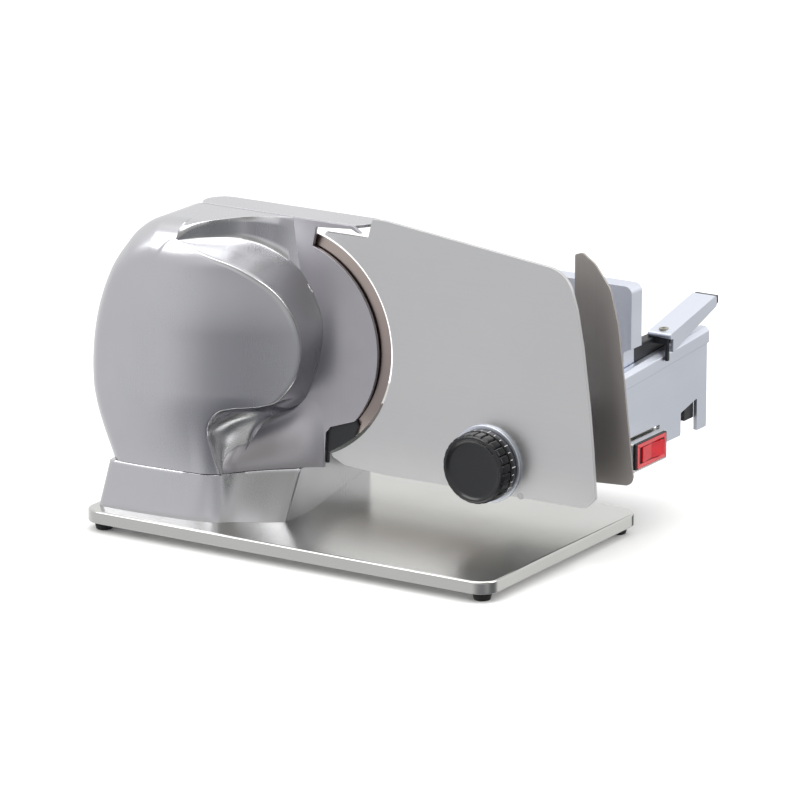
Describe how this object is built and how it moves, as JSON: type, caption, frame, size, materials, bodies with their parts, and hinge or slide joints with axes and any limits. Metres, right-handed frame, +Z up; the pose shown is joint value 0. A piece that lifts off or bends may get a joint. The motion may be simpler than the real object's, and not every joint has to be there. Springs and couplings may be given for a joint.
{
  "type": "deli meat slicer",
  "caption": "Countertop electric meat slicer with a round blade, sliding food carriage with pusher, adjustable thickness plate and a flat base.",
  "frame": {"origin": "on the floor under the centre of the base plate", "axes": "+X from the blade housing to the carriage wall, +Y from the thickness knob to the food side, +Z up"},
  "size_m": [0.4187, 0.3285, 0.2534],
  "materials": {
    "satin_aluminium": "satin, lightly brushed",
    "brushed_stainless": "finely brushed",
    "polished_stainless": "satin polished",
    "blade_steel": "ground and polished",
    "cast_aluminium": "as cast",
    "bright_aluminium": "bright anodised",
    "zinc_screw_steel": "zinc plated",
    "black_plastic": "moulded, fine texture",
    "acetal": "moulded, waxy",
    "red_switch_plastic": "translucent gloss",
    "rubber": "matt",
    "bronze": "sintered",
    "copper": "enamelled wire",
    "electrical_steel": "laminated",
    "carbon": "pressed carbon"
  },
  "bodies": {
    "frame": {"base_plate": "satin_aluminium", "rubber_feet": "rubber", "machine_screws": "zinc_screw_steel", "pedestal": "polished_stainless", "cord_gland": "black_plastic", "suppression_capacitor": "black_plastic", "motor_housing": "polished_stainless", "deflector_plate": "polished_stainless", "top_hood": "polished_stainless", "blade_ring_guard": "brushed_stainless", "lower_blade_guard": "black_plastic", "blade_frame": "cast_aluminium", "gear_plate": "cast_aluminium", "gearbox_pillars": "zinc_screw_steel", "bronze_bushes": "bronze", "idler_pin": "blade_steel", "motor_stator": "electrical_steel", "field_coils": "copper", "motor_rear_bracket": "cast_aluminium", "carbon_brushes": "carbon", "brush_holders": "bronze", "plate_support_arm": "cast_aluminium", "adjuster_nut": "acetal", "rail_beam": "satin_aluminium", "switch_housing": "satin_aluminium", "switch_bezel": "black_plastic", "switch_body": "black_plastic", "rail_end_cap": "black_plastic"},
    "blade_rotor": {"blade": "blade_steel", "blade_hub": "cast_aluminium", "blade_spindle": "blade_steel", "blade_gear": "acetal", "blade_lock_screw": "blade_steel"},
    "idler": {"idler_gear": "acetal"},
    "motor_rotor": {"motor_pinion": "blade_steel", "motor_shaft": "blade_steel", "motor_armature": "electrical_steel", "commutator": "copper", "cooling_fan": "black_plastic"},
    "plate_unit": {"gauge_plate": "brushed_stainless", "knob_collar": "bright_aluminium", "plate_guide_rods": "blade_steel"},
    "knob_unit": {"thickness_knob": "black_plastic", "adjusting_screw": "blade_steel"},
    "carriage": {"carriage_wall": "bright_aluminium", "carriage_top_rail": "bright_aluminium", "carriage_shelf": "bright_aluminium", "slide_saddle": "acetal", "thumb_guard": "brushed_stainless", "guard_screws": "zinc_screw_steel", "pusher_guide_rod": "blade_steel", "guide_rod_blocks": "black_plastic"},
    "pusher": {"pusher_plate": "bright_aluminium", "pusher_spikes": "blade_steel", "pusher_bracket": "black_plastic", "pusher_handle": "bright_aluminium", "handle_screw": "zinc_screw_steel", "handle_end_cap": "black_plastic"},
    "rocker": {"rocker_switch": "red_switch_plastic"}
  },
  "joints": [
    {"name": "blade_spin", "type": "hinge", "parent": "frame", "child": "blade_rotor", "pos_m": [-0.05, -0.0185, 0.149], "axis": [0, 1, 0], "continuous": true},
    {"name": "idler_spin", "type": "hinge", "parent": "frame", "child": "idler", "pos_m": [-0.08289, -0.04, 0.13703], "axis": [0, 1, 0], "continuous": true},
    {"name": "motor_spin", "type": "hinge", "parent": "frame", "child": "motor_rotor", "pos_m": [-0.11187, -0.07, 0.12926], "axis": [0, 1, 0], "continuous": true},
    {"name": "plate_slide", "type": "slide", "parent": "frame", "child": "plate_unit", "axis": [0, -1, 0], "range_m": [0, 0.018]},
    {"name": "knob_turn", "type": "hinge", "parent": "plate_unit", "child": "knob_unit", "pos_m": [0.1255, -0.032, 0.078], "axis": [0, -1, 0], "range_deg": [0, 300]},
    {"name": "carriage_slide", "type": "slide", "parent": "frame", "child": "carriage", "axis": [-1, 0, 0], "range_m": [0, 0.18]},
    {"name": "pusher_slide", "type": "slide", "parent": "carriage", "child": "pusher", "axis": [0, -1, 0], "range_m": [-0.03, 0.101]},
    {"name": "rocker_tilt", "type": "hinge", "parent": "frame", "child": "rocker", "pos_m": [0.186, 0.1105, 0.0665], "axis": [0, 0, 1], "range_deg": [0, 8]}
  ],
  "couplings": [
    {"joint": "idler_spin", "follows": "blade_spin", "ratio": -4},
    {"joint": "motor_spin", "follows": "blade_spin", "ratio": 13.143},
    {"joint": "knob_turn", "follows": "plate_slide", "rad_per_m": 290.89}
  ]
}
